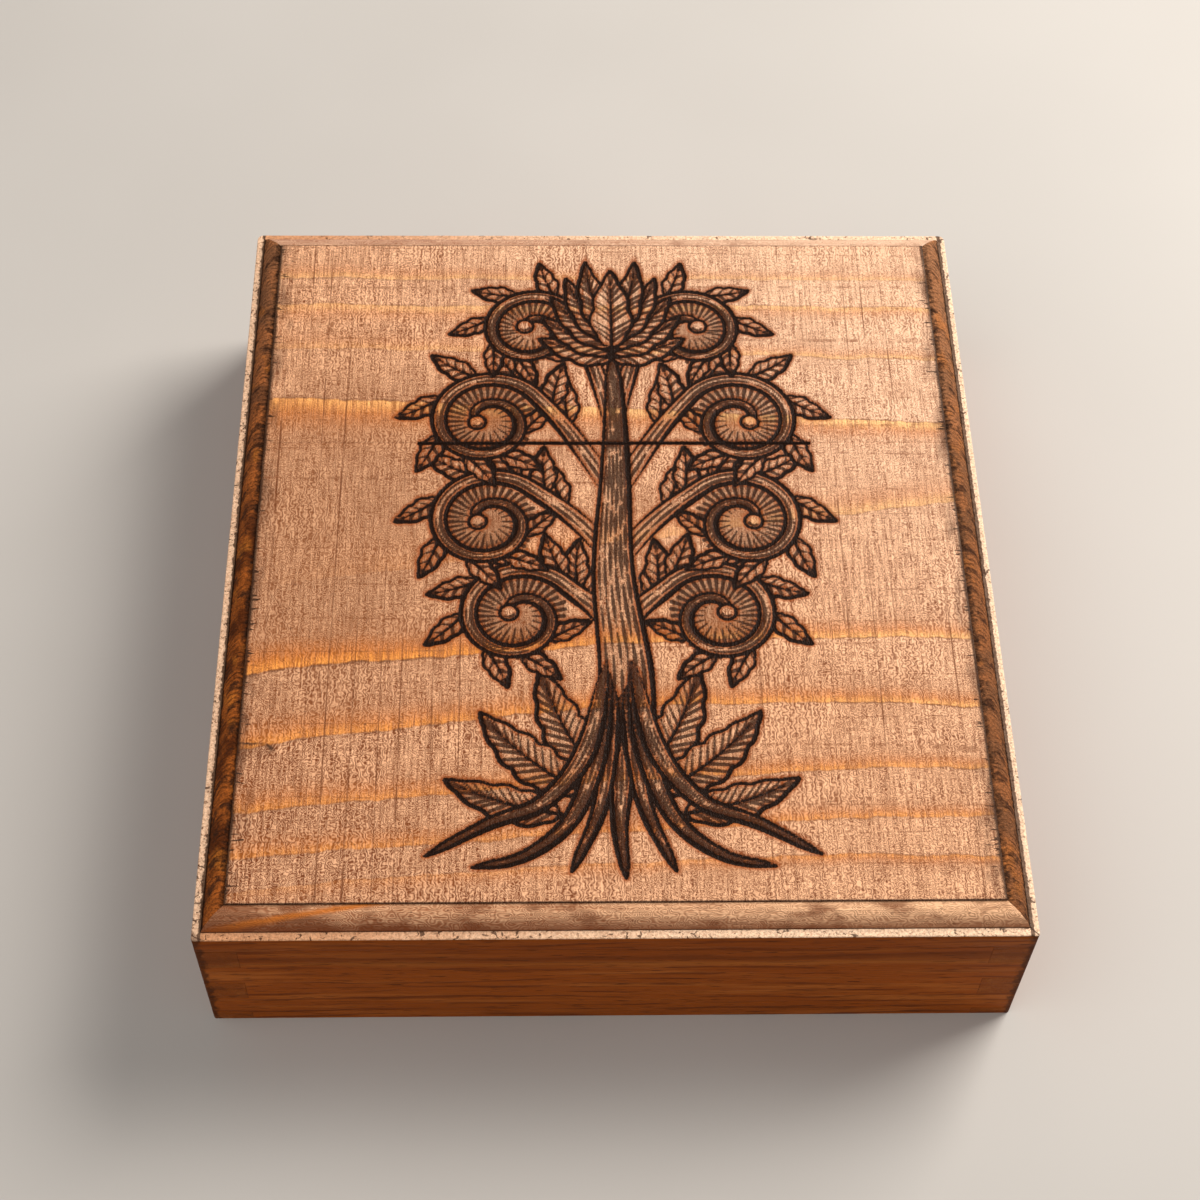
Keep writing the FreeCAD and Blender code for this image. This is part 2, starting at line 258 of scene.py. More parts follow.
def pale_finish(name, along, early_wood, late_wood, rings, fleck_strength):
    """Unstained wood, its growth rings cut through in long loops along the grain."""
    finish = Finish(name)
    loops = finish.grain(along, 26, 150, 1, 0.4) * rings + finish.grain(along, 2.4, 26) * 0.45
    late = finish.rise(finish.waves(loops), 0.50, 1.0) ** 2.0
    fibre = finish.grain(along, 0.24, 10, 3, 0.6)
    fleck = finish.rise(finish.grain(along, 0.36, 2.4, 1, 0.5, (9, 2, 4)), 0.62, 0.72)
    patch = finish.noise((40, 40, 20), 2, 0.5)
    colour = finish.over(early_wood, late * 0.62, late_wood)
    colour = finish.over(colour, fleck * fleck_strength, late_wood)
    colour = finish.shade(colour, 0.74 + fibre * 0.34 + patch * 0.18)
    return finish.apply(colour, 0.5 + fibre * 0.15, fibre * 0.05 + late * 0.03 - fleck * 0.03)


early_pine, late_pine = (0.58, 0.33, 0.155), (0.37, 0.160, 0.055)
panel_pine = pale_finish("panel bare pine", "X", early_pine, late_pine, 17.0, 0.25)
piece = eased_copy("bottom_panel", STRIP_EASE, (panel_pine, panel_pine), 0)
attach(piece, "box")
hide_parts("bottom_panel")


# The two lid boards
# Two pine boards 8 mm thick butted edge to edge, their grain running across the box. Their
# outer edges are routed to a flat ledge, a quarter-round bead and a small step up to the
# field. A tree with scrolling leafy branches is burnt into the field with a hot point.

FRONT_EDGE = -HALF_DEPTH
REAR_EDGE = HALF_DEPTH
SEAM = 26.0
SEAM_BURNT = 42.5
UNDERSIDE = 30.6
FIELD = 38.6
LEDGE = 35.4
LEDGE_WIDTH = 1.7
BEAD_RADIUS = 4.76
BEAD_CENTRE = (6.04, 33.44)
FIELD_INSET = 6.0
MITRE_INSET = 6.8
TREE_MIDDLE = 1.5
FAR = 2.0
ON_FIELD, ON_LONG_BEAD, ON_END_BEAD, ON_LEDGE, ON_LONG_EDGE, ON_END_EDGE = range(6)


def curve_through(*points):
    """A smooth path through the points, with three steps to every two millimetres."""
    points = np.asarray(points, float)
    ends = np.vstack([2 * points[0] - points[1], points, 2 * points[-1] - points[-2]])
    path = []
    for before, start, stop, after in zip(ends[:-3], ends[1:-2], ends[2:-1], ends[3:]):
        count = max(2, int(1.5 * np.linalg.norm(stop - start)))
        t = np.linspace(0, 1, count, endpoint=False)[:, None]
        path.append(0.5 * (2 * start + (stop - before) * t
                           + (2 * before - 5 * start + 4 * stop - after) * t ** 2
                           + (3 * start - before - 3 * stop + after) * t ** 3))
    return np.vstack([*path, points[-1:]])


def sideways(path):
    """The unit vector to the left of each point of a path."""
    step = np.gradient(path, axis=0)
    step /= np.linalg.norm(step, axis=1)[:, None] + 1e-9
    return np.stack([-step[:, 1], step[:, 0]], axis=1)


class Burning:
    """What the hot point has drawn, as distances in millimetres at the crossings of a grid."""

    def __init__(self, columns, rows):
        self.columns = columns
        self.rows = rows
        self.line = np.full((len(rows), len(columns)), FAR)
        self.hatch = self.line.copy()
        self.tone = np.zeros_like(self.line)
        self.hand = 1

    def placed(self, path):
        """The path as given, right of the trunk, or mirrored to its left where the hand is -1."""
        return np.asarray(path, float) * (self.hand, 1) + (TREE_MIDDLE, 0)

    def window(self, path, reach):
        """The rows and the columns of the grid that the path comes near."""
        low = path.min(axis=0) - reach
        high = path.max(axis=0) + reach
        across = slice(*np.searchsorted(self.columns, (low[0], high[0])))
        along = slice(*np.searchsorted(self.rows, (low[1], high[1])))
        return along, across

    def draw(self, path, widths, field="line"):
        """A stroke whose widths are spread evenly along it."""
        field = getattr(self, field)
        path = self.placed(path)
        stations = np.linspace(0, 1, len(widths))
        widths = np.interp(np.linspace(0, 1, len(path)), stations, widths) / 2
        for a, b, wide, narrow in zip(path[:-1], path[1:], widths[:-1], widths[1:]):
            along, across = self.window(np.array([a, b]), FAR)
            if along.start == along.stop or across.start == across.stop:
                continue
            x = self.columns[across][None, :] - a[0]
            y = self.rows[along][:, None] - a[1]
            run = b - a
            share = np.clip((x * run[0] + y * run[1]) / (run @ run + 1e-9), 0, 1)
            gap = np.hypot(x - share * run[0], y - share * run[1])
            gap -= wide + (narrow - wide) * share
            field[along, across] = np.minimum(field[along, across], gap)

    def clear(self, outline, tone):
        """What lies inside a closed outline gives way to the piece drawn over it."""
        outline = self.placed(outline)
        along, across = self.window(outline, 0)
        if along.start == along.stop or across.start == across.stop:
            return
        x = self.columns[across][None, :]
        y = self.rows[along][:, None]
        inside = np.zeros((y.shape[0], x.shape[1]), bool)
        for a, b in zip(outline, np.roll(outline, -1, axis=0)):
            if a[1] != b[1]:
                crosses = (a[1] > y) != (b[1] > y)
                inside ^= crosses & (x < (b[0] - a[0]) * (y - a[1]) / (b[1] - a[1]) + a[0])
        self.line[along, across][inside] = FAR
        self.hatch[along, across][inside] = FAR
        self.tone[along, across][inside] = tone

    def leaf(self, base, heading, length, breadth, bend=0.0, tone=0.18, lobes=3):
        """A lobed leaf: outline, midrib, veins on both halves and shading on the lower half."""
        steps = 29
        s = np.linspace(0, 1, steps)
        angle = np.radians(heading + bend * (s - 0.4) * length)
        run = np.stack([np.cos(angle), np.sin(angle)], axis=1) * length / (steps - 1)
        spine = np.asarray(base, float) + np.vstack([[0, 0], np.cumsum(run[:-1], axis=0)])
        side = sideways(spine)
        scallop = 0.84 + 0.20 * abs(np.cos(math.pi * lobes * s))
        swell = (breadth / 2 * np.sin(math.pi * s ** 0.72) ** 0.8 * scallop)[:, None]
        swell[0] = swell[-1] = 0
        left, right = spine + side * swell, spine - side * swell
        self.clear(np.vstack([left, right[::-1]]), tone)
        veins = np.linspace(2, steps - 6, max(4, int(length * 0.46))).astype(int)
        for at in veins:
            tip = min(at + 4, steps - 1)
            self.draw([spine[at], left[tip] * 0.86 + spine[tip] * 0.14], (0.50, 0.25), "hatch")
            self.draw([spine[at], right[tip] * 0.95 + spine[tip] * 0.05], (0.85, 0.50), "hatch")
        self.draw(left, (0.65, 0.75))
        self.draw(right, (0.85, 1.05))
        self.draw(spine[:-4], (0.85, 0.35))

    def limb(self, path, thick, thin, tone=0.22, point=0.001):
        """A branch or root: two outlines that meet at its tip, with bark lines between them.

        Its start narrows to nothing over the share of its length that point says.
        """
        side = sideways(path)
        share = np.linspace(0, 1, len(path))
        taper = np.clip(share / point, 0, 1) ** 0.6 * np.clip((1 - share) / 0.07, 0, 1) ** 0.6
        half = ((thick + (thin - thick) * share) / 2 * taper)[:, None]
        self.clear(np.vstack([path + side * half, (path - side * half)[::-1]]), tone)
        marks = round(thick / 2.0)
        for number in range(marks):
            place = (number + 1) / (marks + 1) * 2 - 1
            line = path + side * half * place
            start = number % 3
            while start < len(line) - 5:
                stop = start + 9 + (number * 5 + start * 3) % 13
                dark = 0.45 + 0.50 * (1 - place) / 2
                self.draw(line[start:stop], (dark * 0.3, dark, dark * 0.5), "hatch")
                start = stop + number % 2
        self.draw(path + side * half, (0.2, 0.80, 1.05, 0.80, 0.6))
        self.draw(path - side * half, (0.2, 1.30, 0.95, 1.25, 0.7))

    def berry(self, middle, radius):
        """The round knob that a volute ends in."""
        turn = np.linspace(0, 2 * math.pi, 17)
        circle = np.asarray(middle) + radius * np.stack([np.cos(turn), np.sin(turn)], axis=1)
        self.clear(circle[:-1], 0.15)
        self.draw(circle, (0.75, 0.75))
        self.draw(circle[9:15] * 0.6 + np.asarray(middle) * 0.4, (0.5, 0.3), "hatch")

    def shadow(self, middle, radius):
        """Dark rays behind a volute, as in a woodcut."""
        turn = np.linspace(0, 2 * math.pi, 49)
        circle = np.asarray(middle) + radius * np.stack([np.cos(turn), np.sin(turn)], axis=1)
        self.clear(circle[:-1], 0.40)
        rays = int(radius * 3.6)
        for number in range(rays):
            angle = 2 * math.pi * number / rays
            out = np.array([math.cos(angle), math.sin(angle)])
            start = 0.30 + 0.22 * (number % 2)
            end = 0.97 + 0.05 * math.sin(number * 2.4)
            ray = [middle + out * radius * start, middle + out * radius * end]
            self.draw(ray, (0.22, 0.85), "hatch")


def bough(burning, base, lift, centre, radius, start, turns, thick):
    """A branch that leaves the trunk and winds up into a volute, with leaves along its outside."""
    centre = np.asarray(centre, float)
    t = np.linspace(0, 1, int(42 * turns))
    angle = np.radians(start) - 2 * math.pi * turns * t
    reach = radius * (1 - t) ** 0.8 + radius * 0.17 * t
    coil = centre + reach[:, None] * np.stack([np.cos(angle), np.sin(angle)], axis=1)
    away = np.array([math.sin(angle[0]), -math.cos(angle[0])])
    leave = np.array([math.cos(math.radians(lift)), math.sin(math.radians(lift))])
    span = np.linalg.norm(coil[0] - base) * 0.42
    s = np.linspace(0, 1, 26)[:-1, None]
    bend = [np.asarray(base, float), base + leave * span, coil[0] - away * span, coil[0]]
    way = ((1 - s) ** 3 * bend[0] + 3 * s * (1 - s) ** 2 * bend[1]
           + 3 * s ** 2 * (1 - s) * bend[2] + s ** 3 * bend[3])
    path = np.vstack([way, coil])
    side = sideways(path)
    burning.shadow(centre, radius * 0.80)
    for number, share in enumerate(np.linspace(0.20, 0.72, 9)):
        at = int(share * (len(path) - 1))
        step = path[at + 1] - path[at - 1]
        along = math.degrees(math.atan2(step[1], step[0]))
        length = radius * (1.10 - 0.50 * share)
        root = path[at] + side[at] * thick * 0.25
        heading = along + (48 if number % 2 else 30)
        burning.leaf(root, heading, length, length * 0.46, 1.5, 0.14 + 0.06 * (number % 3))
    burning.limb(path, thick, 1.7)
    burning.berry(path[-1], 1.9)


def draw_tree(burning):
    """The whole ornament, from what lies behind to what lies in front."""
    trunk = curve_through((0, -60), (0.8, -50), (1.2, -32), (-0.8, -8), (0, 16), (0.3, 34), (0, 52))
    middle_root = curve_through((0.3, -38), (0, -56), (-0.6, -68), (0.4, -79))
    for hand in (-1, 1):
        burning.hand = hand
        burning.leaf((5, -56), 64, 27, 9.5, 0.9, 0.20, 5)
        burning.leaf((8, -60), 40, 27, 9.5, 0.9, 0.20, 5)
        burning.leaf((12, -65), 17, 24, 8.0, 0.9, 0.20, 4)
    for hand in (-1, 1):
        burning.hand = hand
        bough(burning, (1, -22), 60, (20.5, -19), 12.5, 135, 1.30, 4.6)
        bough(burning, (1, -4), 55, (27, 5), 12.6, 128, 1.35, 4.4)
        bough(burning, (1, 14), 60, (27.5, 32), 12.8, 140, 1.40, 4.2)
        bough(burning, (0, 30), 80, (18, 58), 11.5, 170, 1.35, 3.8)
    burning.hand = 1
    burning.limb(trunk, 13.0, 2.6)
    burning.limb(middle_root, 6.5, 1.2, point=0.4)
    for hand in (-1, 1):
        burning.hand = hand
        for root, thick in (
            (((1.2, -36), (2.8, -52), (4.6, -64), (10, -77.5)), 5.0),
            (((1.9, -33), (5.0, -52), (10, -66), (19, -74), (29, -76.5)), 5.2),
            (((2.5, -30), (6.8, -50), (15, -62), (26, -67), (38, -74)), 5.4),
        ):
            burning.limb(curve_through(*root), thick, 1.2, point=0.35)
    for step in range(5):
        for hand in (-1, 1):
            burning.hand = hand
            burning.leaf((0, 50 + 1.6 * step), 90 - (72 - 14 * step), 17 + 1.5 * step, 7.0, 1.0)
    burning.hand = 1
    burning.leaf((0, 53), 90, 23, 9.4)


def height_across(inset):
    """The routed section, from the outer edge inwards."""
    reach = np.clip(BEAD_CENTRE[0] - inset, 0, None)
    bead = BEAD_CENTRE[1] + np.sqrt(np.clip(BEAD_RADIUS ** 2 - reach ** 2, 0, None))
    height = np.where(inset <= LEDGE_WIDTH, LEDGE, bead)
    height = np.where(inset > BEAD_CENTRE[0], FIELD, height)
    ease, scratch_line = 0.12, 0.08
    height = np.where(inset < 0.05, LEDGE - ease, height)
    return np.where(abs(inset - BEAD_CENTRE[0] - 0.02) < 0.01, FIELD - scratch_line, height)


def soft_noise(x, y, size, seed):
    """Smooth bumps from -1 to 1, size millimetres apart, the same on every run."""
    cells = 259
    grid = np.random.default_rng(seed).uniform(-1, 1, (cells + 1, cells + 1))
    u, v = (x + 100) / size, (y + 100) / size
    i, j = np.floor(u).astype(int) % cells, np.floor(v).astype(int) % cells
    fu, fv = u - np.floor(u), v - np.floor(v)
    fu, fv = fu * fu * (3 - 2 * fu), fv * fv * (3 - 2 * fv)
    low = grid[j, i] * (1 - fu) + grid[j, i + 1] * fu
    high = grid[j + 1, i] * (1 - fu) + grid[j + 1, i + 1] * fu
    return low * (1 - fv) + high * fv


def lay_flat(mesh, points, front, top_points, around):
    """A flat layout for the export: the top at full size, edges in strips, underside smaller."""
    margin, sheet = 2, 181.6
    front_strip, rear_strip, left_strip, right_strip = 120, 130, 140, 150
    under_x, under_y, under_scale = 121, 139, 0.35
    corner = np.empty(len(mesh.loops), np.int32)
    mesh.loops.foreach_get("vertex_index", corner)
    count = np.empty(len(mesh.polygons), np.int32)
    mesh.polygons.foreach_get("loop_total", count)
    face = np.repeat(np.arange(len(count)), count)
    highest = np.zeros(len(count), np.int32)
    lowest = np.full(len(count), len(points), np.int32)
    np.maximum.at(highest, face, corner)
    np.minimum.at(lowest, face, corner)
    normal = np.empty(len(count) * 3, np.float32)
    mesh.polygons.foreach_get("normal", normal)
    normal = normal.reshape(-1, 3)[face]
    x, y, z = points[corner].T
    x, y, z = x + HALF_WIDTH, y - front, z - UNDERSIDE
    edge = (highest >= top_points)[face]
    under = (lowest >= top_points + 3 * around)[face]
    across = abs(normal[:, 0]) > abs(normal[:, 1])
    side_strip = np.where(normal[:, 0] < 0, left_strip, right_strip)
    end_strip = np.where(normal[:, 1] < 0, front_strip, rear_strip)
    u = np.where(edge, np.where(across, y, x), x) + margin
    v = np.where(edge, np.where(across, side_strip, end_strip) + z, y + margin)
    u = np.where(under, under_x + x * under_scale, u)
    v = np.where(under, under_y + y * under_scale, v)
    layer = mesh.uv_layers.new(name="OFBake")
    layer.data.foreach_set("uv", (np.stack([u, v], axis=1) / sheet).astype(np.float32).ravel())


def grid_lines(front, rear):
    """Where a board's grid crosses: close together over the drawing and the routed edges."""
    fine = 0.40
    section = np.array([0, 0.12, 0.45, 0.9, 1.35, 1.66, 1.7, 1.9, 2.3, 2.8, 3.4, 4.1, 4.9, 5.6,
                        6.03, 6.06, 6.2, MITRE_INSET])
    columns = np.concatenate([
        -HALF_WIDTH + section,
        np.linspace(-HALF_WIDTH + 8, -45, 24),
        np.arange(-44, 50, fine),
        np.linspace(51, HALF_WIDTH - 8, 19),
        (HALF_WIDTH - section)[::-1],
    ])
    rows = np.concatenate([
        front + section if front == FRONT_EDGE else [front, front + 0.12],
        np.arange(max(front + 0.5, -81), min(rear - 0.5, 79), fine),
        (rear - section)[::-1] if rear == REAR_EDGE else [rear - 0.12, rear],
    ])
    return columns, np.unique(rows)


def routed_top(x, y, burning):
    """The top's points: the routed section, a little uneven, the burnt lines, rounded corners."""
    from_side = HALF_WIDTH - abs(x)
    from_end = np.minimum(y - FRONT_EDGE, REAR_EDGE - y)
    inset = np.minimum(from_side, from_end)
    z = height_across(inset)
    end_bead = (inset > LEDGE_WIDTH) & (inset < FIELD_INSET) & (from_side <= from_end)
    z += np.where(end_bead, 0.10 * soft_noise(x * 2, y, 0.9, 3) + 0.06 * soft_noise(x, y, 3.0, 4), 0)
    routed = 0.03 * soft_noise(x, y, 2.0, 5)
    sanded = 0.02 * soft_noise(x, y, 6.0, 6)
    z += np.where(inset < FIELD_INSET, routed, sanded)
    groove = np.clip(0.5 - burning.line / 0.5, 0, 1)
    scratch = np.clip(0.5 - burning.hatch / 0.4, 0, 1)
    z -= 0.30 * groove + 0.14 * np.maximum(scratch - groove, 0) + 0.05 * burning.tone
    z = np.where(abs(y - SEAM) < 0.01, z - 0.10, z)
    z = np.minimum(z, FIELD)

    radius = np.where(y < 0, 0.6, 1.4)
    u, v = radius - from_side, radius - from_end
    corner = (u > 0) & (v > 0)
    pull = np.where(corner, np.maximum(u, v) / (np.hypot(u, v) + 1e-9), 1)
    end = np.where(y < 0, FRONT_EDGE + radius - v * pull, REAR_EDGE - radius + v * pull)
    x = np.where(corner, np.sign(x) * (HALF_WIDTH - radius + u * pull), x)
    y = np.where(corner, end, y)
    return np.stack([x, y, z], axis=2).reshape(-1, 3)


def top_faces(columns, rows, index):
    """The top's faces with the finish of each. Those on a mitre are cut along it."""
    from_side = HALF_WIDTH - abs(columns)
    from_end = np.minimum(rows - FRONT_EDGE, REAR_EDGE - rows)
    faces, zones = [], []
    for r, end in enumerate(np.minimum(from_end[:-1], from_end[1:])):
        for c, side in enumerate(np.minimum(from_side[:-1], from_side[1:])):
            a, b, d, e = index[r, c], index[r, c + 1], index[r + 1, c + 1], index[r + 1, c]
            depth = min(side, end)
            if depth >= FIELD_INSET:
                zone = ON_FIELD
            elif depth >= LEDGE_WIDTH - 0.1:
                zone = ON_LONG_BEAD if end <= side else ON_END_BEAD
            else:
                zone = ON_LEDGE
            if depth < MITRE_INSET and abs(side - end) < 0.01:
                other = ON_END_BEAD if zone == ON_LONG_BEAD else zone
                if (columns[c] < 0) == (rows[r] < 0):
                    faces += [(a, b, d), (a, d, e)]
                else:
                    faces += [(a, b, e), (b, d, e)]
                zones += [zone, other] if rows[r] < 0 else [other, zone]
            else:
                faces.append((a, b, d, e))
                zones.append(zone)
    return faces, zones


def board(name, front, rear, finishes):
    """One lid board: routed and burnt top, upright edges and a flat underside, as one closed skin."""
    columns, rows = grid_lines(front, rear)
    burning = Burning(columns, rows)
    draw_tree(burning)
    x, y = np.meshgrid(columns, rows)
    seam = np.where(abs(x - TREE_MIDDLE) < SEAM_BURNT, abs(y - SEAM) - 0.48, FAR)
    burning.line = np.minimum(burning.line, np.clip(seam, -1, FAR))

    high, wide = x.shape
    index = np.arange(high * wide).reshape(high, wide)
    rim = np.concatenate([index[0, :-1], index[:-1, -1], index[-1, :0:-1], index[:0:-1, 0]])
    around = len(rim)
    top = routed_top(x, y, burning)
    rings = [top]
    for level in (33.6, 32.0, UNDERSIDE + 0.1, UNDERSIDE):
        ring = top[rim].copy()
        ring[:, 2] = level
        rings.append(ring)
    ring[:, 0] = np.clip(ring[:, 0], -HALF_WIDTH + 0.1, HALF_WIDTH - 0.1)
    ring[:, 1] = np.clip(ring[:, 1], front + 0.1, rear - 0.1)
    points = np.vstack(rings)

    faces, zones = top_faces(columns, rows, index)
    upper = rim
    for number in range(4):
        lower = high * wide + around * number + np.arange(around)
        for k in range(around):
            n = (k + 1) % around
            faces.append((upper[k], lower[k], lower[n], upper[n]))
            run = abs(points[upper[n]] - points[upper[k]])
            zones.append(ON_END_EDGE if run[1] > run[0] else ON_LONG_EDGE)
        upper = lower
    low = np.full((high, wide), -1)
    low.reshape(-1)[rim] = upper
    under = [(low[0, c], low[1, 0], low[0, c + 1]) for c in range(wide - 1)]
    under.append((low[0, -1], low[1, 0], low[1, -1]))
    under += [(low[r, 0], low[r + 1, 0], low[r + 1, -1], low[r, -1]) for r in range(1, high - 2)]
    under.append((low[-2, 0], low[-1, 0], low[-2, -1]))
    under += [(low[-1, c], low[-1, c + 1], low[-2, -1]) for c in range(wide - 1)]
    faces += under
    zones += [ON_LONG_EDGE] * len(under)

    mesh = bpy.data.meshes.new(name)
    mesh.from_pydata((points * MM).tolist(), [], [tuple(int(i) for i in face) for face in faces])
    mesh.polygons.foreach_set("material_index", np.array(zones, np.int32))
    mesh.polygons.foreach_set("use_smooth", np.ones(len(faces), bool))
    for material in finishes:
        mesh.materials.append(material)
    for title, field in (("line", burning.line), ("hatch", burning.hatch), ("tone", burning.tone)):
        values = np.full(len(points), 0.0 if title == "tone" else FAR, np.float32)
        values[:high * wide] = field.reshape(-1)
        mesh.attributes.new(title, "FLOAT", "POINT").data.foreach_set("value", values)
    mesh.update()
    mesh.set_sharp_from_angle(angle=math.radians(50))
    lay_flat(mesh, points, front, high * wide, around)
    piece = bpy.data.objects.new(name, mesh)
    bpy.context.scene.collection.objects.link(piece)
    return piece


def field_finish():
    """The sanded and lightly stained field, its orange growth bands, the burnt drawing, and painted
    light towards the back right.
    """
    finish = Finish("lid field")
    x = finish.axis("X")
    y = finish.axis("Y")
    region = finish.noise((22, 17, 20), 2, 0.5, shift=(1, 3, 0))
    bump = finish.noise((1.15, 1.05, 9), 1, 0.5)
    worm = finish.waves(bump * (2.7 + finish.rise(region, 0.34, 0.60) * 3.9) + x * 1.05)
    fibre = finish.rise(finish.noise((0.42, 7, 9), 3, 0.6), 0.34, 0.66)
    weft = finish.rise(finish.noise((6, 0.45, 9), 2, 0.5, shift=(4, 2, 0)), 0.34, 0.66)
    cloud = finish.noise((13, 9, 9), 3, 0.6, shift=(8, 1, 0))
    speckle = finish.rise(finish.noise((0.8, 0.6, 0.9), 1, 0.5, shift=(5, 5, 5)), 0.68, 0.76)
    broken = finish.rise(finish.noise((3, 16, 9), 2, 0.5, shift=(6, 1, 3)), 0.42, 0.58)
    scored = finish.noise((9, 300, 9), 0, 0.5, shift=(2, 6, 0)) * 0.9 + x * 0.20
    seen = finish.rise(finish.noise((10, 90, 9), 1, 0.5, shift=(1, 8, 4)), 0.48, 0.66)
    scored = finish.rise(finish.waves(scored), 0.984, 0.998) * (0.25 + seen * 0.75)
    raked = finish.noise((200, 9, 9), 0, 0.5, shift=(5, 9, 0)) * 1.1 + y * 0.12
    raked = finish.rise(finish.waves(raked), 0.990, 0.999)

    light = worm * 0.64 + fibre * 0.41 + weft * 0.12 + cloud * 0.30 - 0.230
    # Painted light and shade: the field is made lighter towards the back and the right, and darker
    # towards the front left.
    light = light + finish.rise(x + y, 30.0, 140.0) * 0.16 + x * 0.0011
    light = light + finish.rise(y - x, 60.0, 130.0) * 0.09 - finish.rise(x + y, -70.0, -140.0) * 0.08
    # Painted highlight: the palest colour turns whiter towards the back right, near the window lamp.
    painted_window_light = finish.rise(x + y, -20.0, 120.0)
    palest = finish.over((0.950, 0.525, 0.300), painted_window_light, (0.970, 0.600, 0.390))
    colour = finish.over((0.190, 0.054, 0.018), light, palest)
    dull = finish.rise(((x + 60.0) / 34.0) ** 2 + ((y - 6.0) / 48.0) ** 2 + cloud, 2.0, 0.6)
    colour = finish.over(colour, dull * 0.42, (0.290, 0.120, 0.052))
    colour = finish.over(colour, finish.rise(cloud, 0.50, 0.80) * 0.42, (0.300, 0.120, 0.052))

    # Each growth band: where its edge lies at the left and the right, how much that edge bends
    # between them, how broad the band is, to which side it fades, and its strength at each end.
    half_length = 74.0
    share = (x + half_length) / (2 * half_length)
    bow = share * (1.0 - share)
    wander = finish.noise((15, 60, 30), 3, 0.55) * 3.0 - 1.5
    ripple = finish.noise((1.7, 8, 30), 2, 0.5) * 0.8 - 0.4
    dusk, glow, ember, edge = 0.0, 0.0, 0.0, 0.0
    for left, right, bend, breadth, side, left_strength, right_strength in (
        (73.7, 73.2, 0.0, 3.4, 1, 0.45, 0.40),
        (65.6, 65.0, 0.0, 4.4, -1, 0.45, 0.60),
        (52.8, 49.5, 2.0, 4.0, 1, 0.25, 0.55),
        (38.6, 31.6, 1.0, 7.0, -1, 0.85, 0.85),
        (-12.0, 10.5, 0.0, 9.0, 1, 0.00, 0.55),
        (-33.0, -24.8, 11.1, 5.4, 1, 1.00, 0.75),
        (-50.6, -41.3, 19.0, 4.8, 1, 0.70, 0.85),
        (-64.9, -55.0, 8.5, 4.2, 1, 0.60, 0.70),
        (-74.8, -65.5, 4.7, 3.6, 1, 0.50, 0.65),
        (-82.0, -74.5, 10.0, 2.8, -1, 0.15, 0.65),
    ):
        away = y - (share * (right - left) + bow * bend + left) + wander + ripple
        away = away * side
        strength = share * (right_strength - left_strength) + left_strength
        above = finish.rise(away, -0.35, 0.15) * strength
        away = away * (0.62 + share * 0.48)
        dusk = above * finish.rise(away, breadth * 1.9, breadth * 0.5) + dusk
        glow = above * finish.rise(away, breadth, 0.2) + glow
        ember = above * finish.rise(away, breadth * 0.42, 0.0) + ember
        edge = finish.rise(abs(away + 0.15), 0.36, 0.08) * strength + edge
    fade = finish.rise(x + y * 1.5, -75.0, 75.0)
    colour = finish.over(colour, dusk * (0.34 - fade * 0.18), (0.330, 0.105, 0.028))
    colour = finish.over(colour, glow * (0.58 + fibre * 0.44 - fade * 0.12), (0.560, 0.160, 0.022))
    hot = finish.over((0.940, 0.390, 0.090), fade, (1.0, 0.620, 0.270))
    colour = finish.over(colour, ember * (fibre * 0.62 + fade * 0.30 + 0.06), hot)
    colour = finish.over(colour, edge * (0.20 + broken * 0.50), (0.130, 0.045, 0.020))
    colour = finish.shade(colour, 1.0 + (worm + fibre - 1.0) * glow * 0.26)

    field_side = HALF_WIDTH - BEAD_CENTRE[0]
    field_end = HALF_DEPTH - BEAD_CENTRE[0]
    soot = finish.noise((3, 9, 9), 3, 0.6, shift=(2, 2, 7)) * 14.0
    smudge = finish.rise(field_side - abs(x) + soot, 10.96, 4.46)
    colour = finish.over(colour, smudge * 0.75, (0.110, 0.048, 0.026))
    colour = finish.over(colour, scored * (0.25 + broken * 0.55), (0.170, 0.050, 0.016))
    colour = finish.over(colour, raked * broken * 0.45, (0.210, 0.068, 0.024))
    colour = finish.over(colour, speckle * 0.55, (0.130, 0.045, 0.020))
    round_knot = ((x + 71.5) / 4.6) ** 2 + ((y + 50.8) / 1.7) ** 2 + ripple * 2.2
    knot = finish.rise(abs(round_knot - 1.1), 0.50, 0.10) * finish.rise(y + ripple, -51.2, -50.0)
    knot = knot * (0.35 + broken * 0.55) + finish.rise(round_knot, 2.4, 0.2) * 0.22
    colour = finish.over(colour, knot, (0.075, 0.030, 0.015))
    tick = finish.rise(finish.noise((3, 0.6, 9), 1, 0.5, shift=(6, 6, 6)), 0.60, 0.78) * 2.6
    rim = finish.rise(abs(x) + cloud * 0.8 + tick, field_side - 0.46, field_side + 0.24)
    rim = rim.most(finish.rise(y, 0.34 - field_end, 0.08 - field_end))
    rim = rim.most(finish.rise(y + broken * 0.1, field_end - 0.41, field_end - 0.11) * 0.7)
    colour = finish.over(colour, rim * 0.88, (0.030, 0.012, 0.006))

